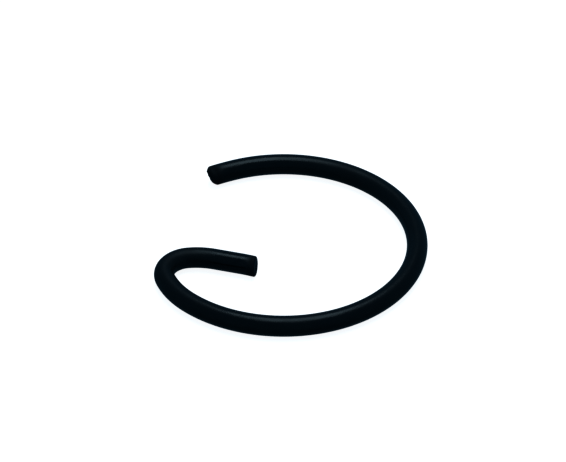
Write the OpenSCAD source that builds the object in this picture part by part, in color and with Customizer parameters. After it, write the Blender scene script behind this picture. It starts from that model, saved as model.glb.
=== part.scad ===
// Retaining ring of round spring wire, for the end of a pin in its bore.
// It is one length of wire: a ring with a wide mouth, one end of which stops short at a
// sheared cut, while the other curls inward and ends in a straight tang to grip it by.
// All of it lies flat. The origin is on the ring's axis at the middle of the wire, +Z runs
// along that axis, and the mouth faces -X.

/* [Wire] */
// Diameter of the round wire
wire_d = 1.0; // [0.8:0.05:1.2]

/* [Ring] */
// Outer diameter of the free ring, before it is squeezed into its groove
ring_od = 14.0; // [13.4:0.1:15.4]
// Angle of the mouth at the ring's axis, from the free end to the start of the hook
mouth_angle = 100.5; // [90:0.5:112]

/* [Hook] */
// Centreline radius of the easy curve that leads from the ring into the hook
lead_in_r = 4.6; // [4:0.1:5.6]
// Angle that the wire turns through on that curve
lead_in_turn = 25; // [16:1:32]
// Radius of the forming pin inside the hook's tight bend
bend_pin_r = 0.8; // [0.7:0.05:1.1]
// Angle that the wire turns through round the forming pin
bend_turn = 102.5; // [92:0.5:110]
// Centreline radius of the easy curve that leads from the tight bend to the tang
lead_out_r = 3.2; // [2.6:0.1:4.2]
// Angle that the wire turns through on that curve
lead_out_turn = 23; // [16:0.5:28]
// Straight length of the tang, from the easy curve to the middle of its cut face
tang_length = 2.1; // [1.6:0.1:2.8]

/* [Cut at the free end] */
// Lean of the cut, which leaves the top of the wire the longer
free_lean = 18; // [6:1:22]
// Turn of the cut about Z, which leaves the ring's inner side the longer
free_turn = 9; // [2:1:12]
// Width of the bevelled rim round the cut face
free_rim = 0.2; // [0.1:0.02:0.26]

/* [Cut at the tang] */
// Lean of the cut, which leaves the underside of the wire the longer
tang_lean = 4; // [1:1:10]
// Turn of the cut about Z, which leaves the side inside the hook the longer
tang_turn = 6; // [2:0.5:12]
// Width of the bevelled rim round the cut face
tang_rim = 0.1; // [0.06:0.02:0.2]

/* [Hidden] */
$fn = 96;

wire_r = wire_d / 2;
// The wire's curves, counted from the tang back to the ring: the centreline radius of each,
// and the angle that it turns through
curve_r = [lead_out_r, bend_pin_r + wire_r, lead_in_r, (ring_od - wire_d) / 2];
curve_turn = [lead_out_turn, bend_turn, lead_in_turn, 360 - mouth_angle];
ring = len(curve_r) - 1;
// Wire that a stretch has past its ends before it is cut to length
spare = wire_r;

// The wire is worked out with its tang along +X from the origin, and turned to the ring's
// own frame when it is whole. Every curve turns the same way, so where two of them meet,
// their centres and the meeting point lie on one line. A curve starts at this angle, seen
// from its centre, at its end towards the tang.
function start_angle(k) = k == 0 ? 90 : start_angle(k - 1) + curve_turn[k - 1];

// The centre of a curve, stepped off along that line from the centre of the one before
function centre(k) =
    k == 0
        ? [0, -curve_r[0]]
        : centre(k - 1)
            + (curve_r[k - 1] - curve_r[k]) * [cos(start_angle(k)), sin(start_angle(k))];

// Moves its children to a curve's centre, by whole hundredths and then by what is left, so
// that no digit is lost and curves that meet do so face to face
module at_centre(k) {
    hundredths = [for (v = centre(k)) round(v * 100) / 100];
    translate(hundredths)
        translate(centre(k) - hundredths)
            children();
}

// Places its children in a square section of a curve, with their +X along the wire and away
// from the tang
module at_section(k, angle) {
    at_centre(k)
        rotate(angle)
            translate([curve_r[k], 0, 0])
                rotate(90)
                    children();
}

// A block that takes off all wire ahead of a square section
module trim() {
    translate([0, -wire_d, -wire_d])
        cube(2 * wire_d);
}

// The form that a wire's end is left with, for a wire that arrives along +X with the middle
// of its cut face at the origin. The cut face is a plane. Its rim is broken by a cone whose
// axis lies halfway between the wire's and the face's, so that the bevel is even all round.
module end_form(lean, turn, rim) {
    reach = 3 * wire_d;
    intersection() {
        rotate([0, lean, -turn])
            translate([-reach, -reach, -reach])
                cube([reach, 2 * reach, 2 * reach]);
        translate([wire_r - rim, 0, 0])
            rotate([0, lean / 2 - 90, -turn / 2])
                cylinder(h = reach, r1 = 0, r2 = reach);
    }
}

// What the shear and the deburring take off at a wire's end
module cut_off(lean, turn, rim) {
    difference() {
        translate([-wire_d, 0, 0])
            rotate([0, 90, 0])
                cylinder(h = 2 * wire_d, r = wire_d);
        end_form(lean, turn, rim);
    }
}

// One curve of the wire. It is trimmed where it meets its neighbours, and the last curve,
// which is the ring's own, is cut at the free end.
module curve(k) {
    spare_turn = spare / curve_r[k] * 180 / PI;
    difference() {
        at_centre(k)
            rotate_extrude(start = start_angle(k) - spare_turn, angle = curve_turn[k] + 2 * spare_turn)
                translate([curve_r[k], 0])
                    circle(d = wire_d);
        at_section(k, start_angle(k))
            mirror([1, 0, 0])
                trim();
        if (k < ring)
            at_section(k + 1, start_angle(k + 1))
                trim();
        else
            at_section(k, start_angle(k) + curve_turn[k])
                cut_off(free_lean, free_turn, free_rim);
    }
}

// The straight tang, along +X from the origin
module tang() {
    difference() {
        rotate([90, 0, 90])
            cylinder(h = tang_length + spare, d = wire_d);
        translate([tang_length, 0, 0])
            cut_off(-tang_lean, -tang_turn, tang_rim);
    }
}

// The whole wire, turned so that the mouth lies evenly either side of -X
module retaining_ring() {
    color("#17191b")
        rotate(180 + mouth_angle / 2 - start_angle(ring))
            translate(-centre(ring)) {
                tang();
                for (k = [0:ring])
                    curve(k);
            }
}

retaining_ring();
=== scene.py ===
import math

import bpy
import numpy as np
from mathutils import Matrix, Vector


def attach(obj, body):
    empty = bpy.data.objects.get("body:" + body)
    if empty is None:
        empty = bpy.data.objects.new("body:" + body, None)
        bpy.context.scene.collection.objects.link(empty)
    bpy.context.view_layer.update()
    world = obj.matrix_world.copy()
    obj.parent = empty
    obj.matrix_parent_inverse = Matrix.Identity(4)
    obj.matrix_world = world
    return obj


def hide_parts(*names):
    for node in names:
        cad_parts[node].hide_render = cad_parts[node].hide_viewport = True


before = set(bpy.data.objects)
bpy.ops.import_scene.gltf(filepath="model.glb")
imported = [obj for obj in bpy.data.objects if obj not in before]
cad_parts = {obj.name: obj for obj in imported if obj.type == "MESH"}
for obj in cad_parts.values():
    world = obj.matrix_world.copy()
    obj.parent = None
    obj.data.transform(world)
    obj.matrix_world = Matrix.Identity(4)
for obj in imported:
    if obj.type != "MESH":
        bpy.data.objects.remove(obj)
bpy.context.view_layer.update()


# The ring. It is one length of hard-drawn spring steel wire, coiled cold to an open ring, with
# one end hooked inward round a forming pin and left straight as a tang. Both ends are sheared
# and tumbled, and the ring is blackened in an oxide bath once it is formed.
wire_radius = 0.5e-3
ring_outer_radius = 7.0e-3
forming_pin_radius = 0.8e-3
tang_length = 2.1e-3
mouth_degrees = 100.5
# From the tang back to the plain end: the tang, the easy curve out of the hook, the tight bend,
# the easy curve into the hook, and the ring itself
bend_radius = np.array(
    [np.inf, 3.2e-3, forming_pin_radius + wire_radius, 4.6e-3, ring_outer_radius - wire_radius]
)
bend_turn = np.radians([0.0, 23.0, 102.5, 25.0, 360.0 - mouth_degrees])
tight_bend, ring_curve = 2, 4

curvature = 1 / bend_radius
stretch = np.append(tang_length, bend_turn[1:] * bend_radius[1:])
stretch_start = np.cumsum(stretch) - stretch
wire_length = stretch.sum()

# The ring's curve leaves the hook on the -Y side of the mouth, heading round the ring's axis
ring_start_angle = math.pi + math.radians(mouth_degrees) / 2
heading_start = ring_start_angle + math.pi / 2 + np.cumsum(bend_turn) - bend_turn
heading_start -= bend_turn[:ring_curve].sum()


def chord(length, bend, heading):
    """The step from one point of an even curve to another, a given length of wire further on.
    It is the length times the sine of half the turn over half the turn, and it heads halfway
    between the headings at its two ends. A straight stretch is the same with no turn."""
    half_turn = bend * length / 2
    reach = length * np.sinc(half_turn / np.pi)
    return reach * np.array([np.cos(heading + half_turn), np.sin(heading + half_turn)])


steps = chord(stretch, curvature, heading_start)
start_point = np.cumsum(steps, axis=1) - steps
start_point += bend_radius[ring_curve] * np.array(
    [[math.cos(ring_start_angle)], [math.sin(ring_start_angle)]]
) - start_point[:, ring_curve:]


def bent(along, left, up):
    """Takes places on the straight wire to where bending puts them. The middle of the wire
    follows the run of even curves. A place off the middle keeps its distance to the left of
    the run, square to its heading, and its height."""
    k = np.clip(np.searchsorted(stretch_start, along, side="right") - 1, 0, ring_curve)
    past = along - stretch_start[k]
    middle = start_point[:, k] + chord(past, curvature[k], heading_start[k])
    heading = heading_start[k] + curvature[k] * past
    return np.stack(
        [middle[0] - left * np.sin(heading), middle[1] + left * np.cos(heading), up], axis=-1
    )


# Where the wire breaks off ahead of the blade, the face is rippled: many small waves, each with
# its own pitch and way across the face, the longer ones the higher
ripple_count, ripple_height = 26, 1.9e-6
chance = np.random.default_rng(11)
ripple_pitch = chance.uniform(80e-6, 260e-6, ripple_count)
ripple_way = chance.uniform(0, 2 * np.pi, ripple_count)
ripple_phase = chance.uniform(0, 2 * np.pi, ripple_count)
ripple_left = 2 * np.pi / ripple_pitch * np.cos(ripple_way)
ripple_up = 2 * np.pi / ripple_pitch * np.sin(ripple_way)
ripple_size = ripple_height * ripple_pitch / ripple_pitch.mean()
# How far the broken part sits back, and how soon it fades out towards the rim
broken_set_back, broken_fade = 9e-6, 1.35
# The line where it begins, as shares of the wire's radius: its place along the blade's way, and
# how far it waves to and fro. Then how fast it waves, and how sharp it is.
break_line, break_wave = -0.1, 0.12
break_wave_rate, break_sharpness = 5, 14


def cut_face(left, up, turn, lean, blade):
    """Height of a cut face above the square end, and the share of it that is broken. The face
    is a plane, which rises to the left by the tangent of its turn and upwards by the tangent
    of its lean. The blade leaves its first part smooth. Past a wavy line it is broken, by a
    smooth step: there it sits back a little and carries the sum of the ripples, both less and
    less towards the rim."""
    plane = math.tan(math.radians(turn)) * left + math.tan(math.radians(lean)) * up
    depth = (left * blade[0] + up * blade[1]) / wire_radius
    wave = break_wave * np.sin(break_wave_rate * left / wire_radius)
    inside = np.clip(broken_fade * (1 - (left**2 + up**2) / wire_radius**2), 0, 1)
    broken = inside / (1 + np.exp(-break_sharpness * (depth - break_line + wave)))
    phase = np.multiply.outer(left, ripple_left) + np.multiply.outer(up, ripple_up) + ripple_phase
    rough = (np.sin(phase) * ripple_size).sum(axis=-1)
    return plane + broken * (rough - broken_set_back), broken


sides = 80
around = np.linspace(0, 2 * np.pi, sides, endpoint=False)
rim_rings, face_rings, body_rings = 10, 20, 640
# The rim is narrowest high on the wire's outer side. Its section lies between a flat bevel, at
# 1, and a round, at 2.
narrow_side = math.radians(127)
rim_roundness = 1.5


def cut_end(at, outward, turn, lean, rim, rim_change, blade):
    """The rings of one end of the straight wire, from the middle of its cut face out to its
    side: their places along the wire, to the left and up, and their share of broken face.
    outward is 1 where the wire ends ahead. The rim's width follows a cosine round the wire,
    narrower by rim_change on its narrow side and wider by it opposite. How far out and how far
    up a place on the rim's section lies, as shares of that width and each to the power of
    rim_roundness, add up to 1."""
    rim = rim - rim_change * np.cos(around - narrow_side)
    rim_turn = np.linspace(0, np.pi / 2, rim_rings + 1)[1:, None]
    power = 2 / rim_roundness
    rim_radius = wire_radius - rim + rim * np.sin(rim_turn) ** power
    rim_drop = rim * (1 - np.cos(rim_turn) ** power)
    flat_radius = (wire_radius - rim) * np.linspace(0, 1, face_rings + 1)[1:, None]
    radius = np.concatenate([flat_radius, rim_radius])
    drop = np.concatenate([np.zeros((face_rings, sides)), rim_drop])
    left, up = radius * np.cos(around), radius * np.sin(around)
    height, broken = cut_face(left, up, turn, lean, blade)
    return np.stack([at + outward * (height - drop), left, up, broken])


# The tang's cut leaves its underside and the side inside the hook a little the longer. The
# plain end's cut leaves its top and the side inside the ring the longer. The way that the blade
# went through the wire is given as how far it goes to the left and how far up.
tang_end = cut_end(
    at=-0.004e-3, outward=-1, turn=5.5, lean=-4, rim=0.07e-3, rim_change=0.016e-3,
    blade=(-0.3, -0.95),
)
plain_end = cut_end(
    at=wire_length - 0.006e-3, outward=1, turn=10.8, lean=17, rim=0.243e-3, rim_change=0.006e-3,
    blade=(-0.9, 0.4),
)

# Between the ends the rings are even, and lean less and less like the cuts
share = np.linspace(0, 1, body_rings + 2)[1:-1, None]
body_along = tang_end[0, -1] + (plain_end[0, -1] - tang_end[0, -1]) * share
body_left = np.tile(wire_radius * np.cos(around), (body_rings, 1))
body_up = np.tile(wire_radius * np.sin(around), (body_rings, 1))
body = np.stack([body_along, body_left, body_up, np.zeros_like(body_along)])
along, left, up, broken = np.concatenate([tang_end, body, plain_end[:, ::-1]], axis=1)
from_plain = wire_length - along

# Bent this tightly, the wire is drawn out and becomes a little narrower across the bend. That
# comes on and goes off again just past the bend's two ends.
narrowing = 0.018
bend_middle = stretch_start[tight_bend] + stretch[tight_bend] / 2
narrow_ease = stretch[tight_bend] / 5.6
narrow_reach = 3.2 * narrow_ease
pressed = 0.5 * (1 + np.tanh((narrow_reach - np.abs(along - bend_middle)) / narrow_ease))
oval_left = left * (1 - narrowing * pressed)

# The shear has dragged each end a hair's breadth along with it, inward at the tang and outward
# at the plain end, with some of the wire behind it
tang_drag, tang_drag_reach = 0.031e-3, 0.36e-3
plain_drag, plain_drag_reach = -0.046e-3, 0.7e-3
dragged = tang_drag * np.exp(-((along / tang_drag_reach) ** 2))
dragged += plain_drag * np.exp(-((from_plain / plain_drag_reach) ** 2))

ring_points = bent(along, oval_left + dragged, up).reshape(-1, 3)
pole_along = np.array([along[0].mean(), along[-1].mean()])
pole_points = bent(pole_along, np.array([tang_drag, plain_drag]), np.zeros(2))

# A face's corners go round the wire first and then along it, so that it points outwards
rows = len(along)
ring_index = np.arange(rows * sides).reshape(rows, sides)
next_side = np.roll(ring_index, -1, axis=1)
quads = np.stack(
    [ring_index[:-1], next_side[:-1], next_side[1:], ring_index[1:]], axis=-1
).reshape(-1, 4)
tang_pole, plain_pole = rows * sides, rows * sides + 1
tang_fan = np.stack([next_side[0], ring_index[0], np.full(sides, tang_pole)], axis=-1)
plain_fan = np.stack([ring_index[-1], next_side[-1], np.full(sides, plain_pole)], axis=-1)

ring_mesh = bpy.data.meshes.new("wire_ring")
ring_mesh.from_pydata(
    np.concatenate([ring_points, pole_points]).tolist(),
    [],
    quads.tolist() + tang_fan.tolist() + plain_fan.tolist(),
)
ring_mesh.polygons.foreach_set("use_smooth", np.ones(len(ring_mesh.polygons), bool))

# What the finish needs to know of each place, first of all where it was on the straight wire,
# in millimetres
straight_places = np.stack([along, left, up], axis=-1).reshape(-1, 3)
pole_places = np.stack([pole_along, np.zeros(2), np.zeros(2)], axis=-1)
place_layer = ring_mesh.attributes.new("straight_wire", "FLOAT_VECTOR", "POINT")
place_layer.data.foreach_set(
    "vector", (1e3 * np.concatenate([straight_places, pole_places])).ravel().astype(np.float32)
)


def mark(name, values, at_poles):
    """Keeps a value for each place of the ring, with one for the middles of both cut faces."""
    layer = ring_mesh.attributes.new(name, "FLOAT", "POINT")
    layer.data.foreach_set(
        "value", np.append(values.ravel(), [at_poles, at_poles]).astype(np.float32)
    )


# How worn each place is, with a painted sheen on top of the tang: the rims of both cuts worn by
# the tumbling, the inside of the tight bend by the forming pin, the outer side by the coiling
# rolls; and the top of the tang made lighter and smoother as a painted sheen, standing in for the
# lamp's highlight
inner_side, outer_side = np.clip(left / wire_radius, 0, 1), np.clip(-left / wire_radius, 0, 1)
top_side = np.clip(up / wire_radius, 0, 1)
rim_share, pin_share, coiling_share = 0.45, 0.9, 0.45
tang_rub_reach, plain_rub_reach = 0.2e-3, 0.28e-3
# Where along the wire the painted sheen on the tang's top is centred, and how far it reaches
tang_sheen_middle, tang_sheen_reach = 1.1e-3, 0.75e-3
near_cuts = np.exp(-((along / tang_rub_reach) ** 2))
near_cuts += np.exp(-((from_plain / plain_rub_reach) ** 2))
rim_rub = rim_share * near_cuts * (1 - broken)
pin_rub = pin_share * pressed * inner_side**3
coiling_rub = coiling_share * (1 - pressed) * outer_side**6
# Painted sheen: the tang's upper side is made lighter in colour, and smoother, where the lamp's
# highlight falls. The mark below holds this together with the real wear.
tang_top_sheen = np.exp(-(((along - tang_sheen_middle) / tang_sheen_reach) ** 4)) * top_side**2
mark("rubbed_and_sheen", np.clip(rim_rub + pin_rub + coiling_rub + tang_top_sheen, 0, 1), at_poles=0.4)
mark("broken_face", broken, at_poles=1.0)

# How matt the oxide has come out, from 0, satin, to 2, dull, as pairs of a place in millimetres
# from the tang's end and a value: least on the tang and along the front and back of the ring,
# more where the hook was bent, and most where the shear scuffed the wire's two ends
matt_run = np.array(
    [
        (0, 1.6), (0.2, 1.8), (0.35, 0.9), (0.5, 0.1), (1.9, 0.1), (2.3, 0.6), (3.4, 1), (4.8, 1),
        (6, 0.7), (8, 0.6), (9, 0.35), (10, 0.2), (11.5, 0.2), (13, 0.4), (14, 0.4), (15, 0.3),
        (16.5, 0.3), (18, 0.45), (24, 0.35), (28, 0.55), (30, 0.8), (31, 0.6), (32, 0.35),
        (33.3, 0.15), (34, 0), (35.2, 0), (36.3, 0.3), (36.55, 0.6), (36.7, 1.3), (36.85, 2.0),
        (37, 1.8),
    ]
)
cut_face_matt = 0.9
matt = np.interp(1e3 * along, matt_run[:, 0], matt_run[:, 1])
matt[:face_rings] = matt[-face_rings:] = cut_face_matt
mark("matt", matt, at_poles=cut_face_matt)

ring_mesh.validate()
ring_mesh.update()
wire_ring = bpy.data.objects.new("wire_ring", ring_mesh)
bpy.context.scene.collection.objects.link(wire_ring)


def black_oxide():
    """Oil-dipped black oxide on drawn wire: a cool near-black that is a little cloudy, with the
    die's fine lines along the wire, the grain of the oxide over them, and a smoother, barely
    lighter skin where the tools wore it, with the same lighter skin on top of the tang as a
    painted sheen."""
    finish = bpy.data.materials.new("black_oxide")
    finish.use_nodes = True
    tree = finish.node_tree
    add, link = tree.nodes.new, tree.links.new
    skin = tree.nodes["Principled BSDF"]

    def attribute(name, output="Fac"):
        node = add("ShaderNodeAttribute")
        node.attribute_name = name
        return node.outputs[output]

    def noise(scale, detail, stretch_along=1.0):
        """Noise over the straight wire, of a scale in lumps to the millimetre, drawn out along
        the wire by a stretch below 1."""
        spread = add("ShaderNodeMapping")
        spread.inputs["Scale"].default_value = (stretch_along, 1, 1)
        link(place, spread.inputs["Vector"])
        node = add("ShaderNodeTexNoise")
        node.inputs["Scale"].default_value = scale
        node.inputs["Detail"].default_value = detail
        node.inputs["Roughness"].default_value = 0.6
        link(spread.outputs["Vector"], node.inputs["Vector"])
        return node.outputs["Fac"]

    def ranged(value, given, wanted):
        """The value taken in proportion from the given range to the wanted one, and held
        within it."""
        node = add("ShaderNodeMapRange")
        for socket, number in zip(("From Min", "From Max", "To Min", "To Max"), given + wanted):
            node.inputs[socket].default_value = number
        link(value, node.inputs["Value"])
        return node.outputs["Result"]

    def math_node(kind, a, b):
        node = add("ShaderNodeMath")
        node.operation = kind
        for socket, value in zip(node.inputs, (a, b)):
            if isinstance(value, (int, float)):
                socket.default_value = value
            else:
                link(value, socket)
        return node.outputs["Value"]

    place = attribute("straight_wire", "Vector")
    # Wear, and the painted sheen on the tang's top, as one mark
    wear_and_sheen = attribute("rubbed_and_sheen")
    break_share = attribute("broken_face")
    die_lines = noise(scale=26, detail=3, stretch_along=0.035)
    clouds = noise(scale=1.5, detail=4, stretch_along=0.55)
    grain = noise(scale=17, detail=3)
    patches = noise(scale=3.2, detail=4, stretch_along=0.5)
    torn_grain = noise(scale=24, detail=4)
    most_of_noise = (0.3, 0.7)

    deep_black, cloud_black = (0.0040, 0.0085, 0.0125, 1), (0.0085, 0.0150, 0.0200, 1)
    # The lighter tone of worn skin; on top of the tang the same tone is a painted sheen
    wear_and_sheen_black = (0.026, 0.030, 0.032, 1)
    tone = add("ShaderNodeValToRGB")
    for stop, position, colour in zip(
        tone.color_ramp.elements, (0.3, 0.72), (deep_black, cloud_black)
    ):
        stop.position, stop.color = position, colour
    link(clouds, tone.inputs["Fac"])
    wear_and_sheen_tone = add("ShaderNodeMix")
    wear_and_sheen_tone.data_type = "RGBA"
    wear_and_sheen_tone.inputs["B"].default_value = wear_and_sheen_black
    # Lightens the colour towards that tone, in patches, where worn, and on top of the tang as a
    # painted sheen
    patchy_wear_and_sheen = math_node("MULTIPLY", wear_and_sheen, ranged(patches, (0.42, 0.62), (0, 1)))
    link(patchy_wear_and_sheen, wear_and_sheen_tone.inputs["Factor"])
    link(tone.outputs["Color"], wear_and_sheen_tone.inputs["A"])
    link(wear_and_sheen_tone.outputs["Result"], skin.inputs["Base Color"])

    satin_to_dull = (0.17, 0.83)
    cloud_change, die_line_change = (0.03, -0.03), (-0.03, 0.04)
    rub_polish, break_dullness = 0.08, 0.18
    gloss = ranged(attribute("matt"), (0, 2), satin_to_dull)
    gloss = math_node("ADD", gloss, ranged(clouds, most_of_noise, cloud_change))
    gloss = math_node("ADD", gloss, ranged(die_lines, most_of_noise, die_line_change))
    gloss = math_node("SUBTRACT", gloss, math_node("MULTIPLY", wear_and_sheen, rub_polish))
    gloss = math_node("ADD", gloss, math_node("MULTIPLY", break_share, break_dullness))
    link(gloss, skin.inputs["Roughness"])

    def raised(height, depth, below=None):
        """The surface below, with relief of a given depth in metres on it."""
        node = add("ShaderNodeBump")
        node.inputs["Distance"].default_value = depth
        link(height, node.inputs["Height"])
        if below is not None:
            link(below, node.inputs["Normal"])
        return node.outputs["Normal"]

    surface = raised(die_lines, depth=2.2e-6)
    surface = raised(grain, depth=3.5e-6, below=surface)
    surface = raised(patches, depth=11e-6, below=surface)
    torn = math_node("MULTIPLY", break_share, torn_grain)
    surface = raised(torn, depth=14e-6, below=surface)
    link(surface, skin.inputs["Normal"])
    skin.inputs["IOR"].default_value = 1.5
    skin.inputs["Specular IOR Level"].default_value = 0.5
    skin.inputs["Specular Tint"].default_value = (0.84, 0.96, 1.0, 1)
    return finish


ring_mesh.materials.append(black_oxide())
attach(wire_ring, "root")
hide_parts("retaining_ring")


# The table. A seamless white sweep, flat under the ring and curving up to a low wall all round,
# as a sheet of plastic does in a light tent. It glows a little of its own, being lit from
# behind, and keeps that light off the ring.
table_height = -wire_radius
middle_reach, flat_reach, wall_radius, wall_height = 0.01, 0.34, 0.46, 0.30
flat_steps, curl_steps, spokes = 13, 16, 96
# Outwards from a disc in the middle: flat, a quarter round, and straight up
curl = wall_radius - flat_reach
curl_turn = np.linspace(0, np.pi / 2, curl_steps)
flat_out = np.linspace(middle_reach, flat_reach, flat_steps, endpoint=False)
sweep_out = np.concatenate([flat_out, flat_reach + curl * np.sin(curl_turn), [wall_radius]])
sweep_up = np.concatenate([np.zeros(flat_steps), curl * (1 - np.cos(curl_turn)), [wall_height]])
spoke_angle = np.linspace(0, 2 * np.pi, spokes, endpoint=False)
sweep_points = np.stack(
    [
        np.multiply.outer(sweep_out, np.cos(spoke_angle)),
        np.multiply.outer(sweep_out, np.sin(spoke_angle)),
        np.tile(table_height + sweep_up[:, None], (1, spokes)),
    ],
    axis=-1,
).reshape(-1, 3)
sweep_index = np.arange(len(sweep_out) * spokes).reshape(-1, spokes)
sweep_next = np.roll(sweep_index, -1, axis=1)
sweep_quads = np.stack(
    [sweep_index[:-1], sweep_index[1:], sweep_next[1:], sweep_next[:-1]], axis=-1
).reshape(-1, 4)
table_mesh = bpy.data.meshes.new("table")
table_mesh.from_pydata(
    sweep_points.tolist(), [], [sweep_index[0].tolist()] + sweep_quads.tolist()
)
table_mesh.update()
table = bpy.data.objects.new("table", table_mesh)
bpy.context.scene.collection.objects.link(table)

table_white = bpy.data.materials.new("table_white")
table_white.use_nodes = True
table_skin = table_white.node_tree.nodes["Principled BSDF"]
table_skin.inputs["Base Color"].default_value = (0.45, 0.40, 0.385, 1)
table_skin.inputs["Roughness"].default_value = 0.9
table_skin.inputs["Specular IOR Level"].default_value = 0.0
table_skin.inputs["Emission Color"].default_value = (1, 1, 1, 1)
table_skin.inputs["Emission Strength"].default_value = 0.925
table_white.cycles.emission_sampling = "NONE"
table_mesh.materials.append(table_white)
table.visible_diffuse = False
table.visible_glossy = False
table.visible_shadow = False


# The light. A soft lamp hangs over the ring and a little behind it, and the room around it gives
# a dim cool glow, weaker from below than from above.
def soft_lamp(name, lean, side, turn, distance, size, glow, tint):
    """A flat soft lamp of a given brightness that faces the ring from straight overhead, leant
    back, then to the side, then turned about the ring's axis, in degrees. Its power is the
    brightness times pi times its area, which is an oval's."""
    lamp = bpy.data.lights.new(name, "AREA")
    lamp.shape = "ELLIPSE"
    lamp.size, lamp.size_y = size
    lamp.energy = glow * math.pi * math.pi / 4 * size[0] * size[1]
    lamp.color = tint
    holder = bpy.data.objects.new(name, lamp)
    holder.rotation_euler = [math.radians(angle) for angle in (-lean, side, turn)]
    holder.location = holder.rotation_euler.to_matrix() @ Vector((0, 0, distance))
    bpy.context.scene.collection.objects.link(holder)


soft_lamp(
    "overhead_lamp", lean=17.0, side=3.0, turn=5.6, distance=0.29, size=(0.165, 0.24), glow=2.8,
    tint=(0.88, 0.97, 1.0),
)

# The glow rises from its first strength to its second between these heights of the direction
# that it comes from, where -1 is straight below and 1 straight above
room_tint = (0.285, 0.70, 1.0, 1)
glow_heights, glow_strengths = (-0.7, 0.3), (0.24, 0.375)
room = bpy.data.worlds.new("room")
room.use_nodes = True
room_nodes, room_links = room.node_tree.nodes, room.node_tree.links
room_glow = room_nodes["Background"]
room_glow.inputs["Color"].default_value = room_tint
direction = room_nodes.new("ShaderNodeTexCoord")
direction_parts = room_nodes.new("ShaderNodeSeparateXYZ")
room_links.new(direction.outputs["Generated"], direction_parts.inputs["Vector"])
glow_by_height = room_nodes.new("ShaderNodeMapRange")
glow_by_height.interpolation_type = "SMOOTHSTEP"
for socket, number in zip(
    ("From Min", "From Max", "To Min", "To Max"), glow_heights + glow_strengths
):
    glow_by_height.inputs[socket].default_value = number
room_links.new(direction_parts.outputs["Z"], glow_by_height.inputs["Value"])
room_links.new(glow_by_height.outputs["Result"], room_glow.inputs["Strength"])
bpy.context.scene.world = room


# The camera. It looks down on the ring from the side of the hook, through a long lens and from
# about seventeen ring diameters off. The picture is developed with deep blacks and a white
# ground.
camera_turn = math.radians(5.628)
camera_height = math.radians(37.281)
camera_distance = 0.23562
aim_up, aim_right = 0.604e-3, -0.029e-3
toward_camera = Vector(
    (
        math.sin(camera_turn) * math.cos(camera_height),
        -math.cos(camera_turn) * math.cos(camera_height),
        math.sin(camera_height),
    )
)
camera_right = Vector((math.cos(camera_turn), math.sin(camera_turn), 0))
camera_up = toward_camera.cross(camera_right)
camera_data = bpy.data.cameras.new("camera")
camera_data.sensor_width = 36
camera_data.lens = 308.1
camera_data.clip_start, camera_data.clip_end = 0.01, 5
camera = bpy.data.objects.new("camera", camera_data)
camera.location = toward_camera * camera_distance
aim = camera_up * aim_up + camera_right * aim_right
camera.rotation_mode = "QUATERNION"
camera.rotation_quaternion = (aim - camera.location).to_track_quat("-Z", "Y")
bpy.context.scene.collection.objects.link(camera)
bpy.context.scene.camera = camera
bpy.context.scene.view_settings.view_transform = "Standard"
bpy.context.scene.view_settings.gamma = 0.6
